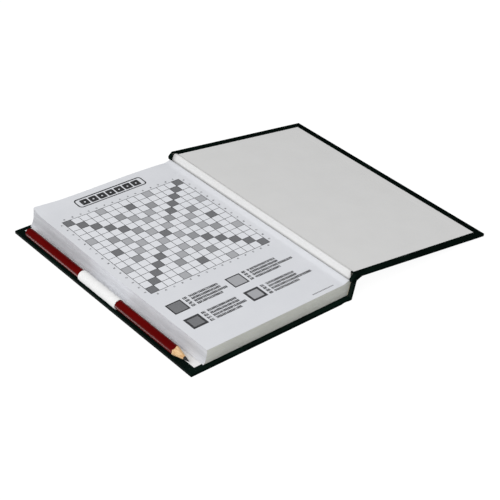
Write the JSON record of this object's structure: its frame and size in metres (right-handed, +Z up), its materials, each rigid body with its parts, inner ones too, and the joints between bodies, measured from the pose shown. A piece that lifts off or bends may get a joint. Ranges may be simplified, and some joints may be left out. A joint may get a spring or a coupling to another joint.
{
  "type": "hardback score book",
  "caption": "Hardback pad of printed game score sheets lying open at its top sheet, with a round pencil in a fabric loop beside the sheets.",
  "frame": {"origin": "centre of the closed book's footprint, on the surface it lies on, which is the underside of the rear cover", "axes": "+X from the fore-edge to the spine and on along the open front cover, +Y from the tail (bottom of the page) to the head, +Z up"},
  "size_m": [0.284, 0.21, 0.021],
  "materials": {
    "cloth": "very dark green book cloth, fine plain weave, low sheen",
    "greyboard": "raw greyboard, fibrous",
    "mull": "open cotton gauze, stiffened with glue",
    "endpaper": "white uncoated endpaper, matte",
    "glue": "dried bookbinder's glue, satin",
    "paper": "white uncoated printing paper, matte",
    "loop": "white woven tape, fine dotted weave",
    "wood": "sharpened cedar, unvarnished",
    "lead": "graphite, dull with a slight sheen",
    "lacquer": "glossy maroon pencil lacquer"
  },
  "bodies": {
    "case_and_block": {"rear_cover_cloth": "cloth", "rear_board": "greyboard", "rear_lining_flange": "mull", "rear_pastedown": "endpaper", "spine_glue": "glue", "spine_lining": "mull", "spine_board": "greyboard", "spine_cloth": "cloth", "front_joint_cloth": "cloth", "sheet_packet_1": "paper", "sheet_packet_2": "paper", "sheet_packet_3": "paper", "sheet_packet_4": "paper", "sheet_packet_5": "paper", "sheet_packet_6": "paper", "sheet_packet_7": "paper", "sheet_packet_8": "paper", "second_sheet": "paper", "top_sheet_stub": "paper", "front_endpaper_hinge": "endpaper", "pencil_loop": "loop"},
    "front_cover": {"front_cover_cloth": "cloth", "front_board": "greyboard", "front_lining_flange": "mull", "front_pastedown": "endpaper", "front_endpaper_fold": "endpaper"},
    "turning_sheet": {"top_sheet": "paper"},
    "pencil": {"pencil_wood": "wood", "pencil_lead": "lead", "pencil_lacquer": "lacquer"}
  },
  "joints": [
    {"name": "cover_hinge", "type": "hinge", "parent": "case_and_block", "child": "front_cover", "pos_m": [0.06838, 0, 0.01792], "axis": [0, -1, 0], "range_deg": [0, 187.56]},
    {"name": "sheet_turn", "type": "hinge", "parent": "case_and_block", "child": "turning_sheet", "pos_m": [0.06838, 0, 0.01792], "axis": [0, 1, 0], "range_deg": [0, 185]},
    {"name": "pencil_slide", "type": "slide", "parent": "case_and_block", "child": "pencil", "axis": [0, 1, 0], "range_m": [-0.116, 0.125]}
  ]
}
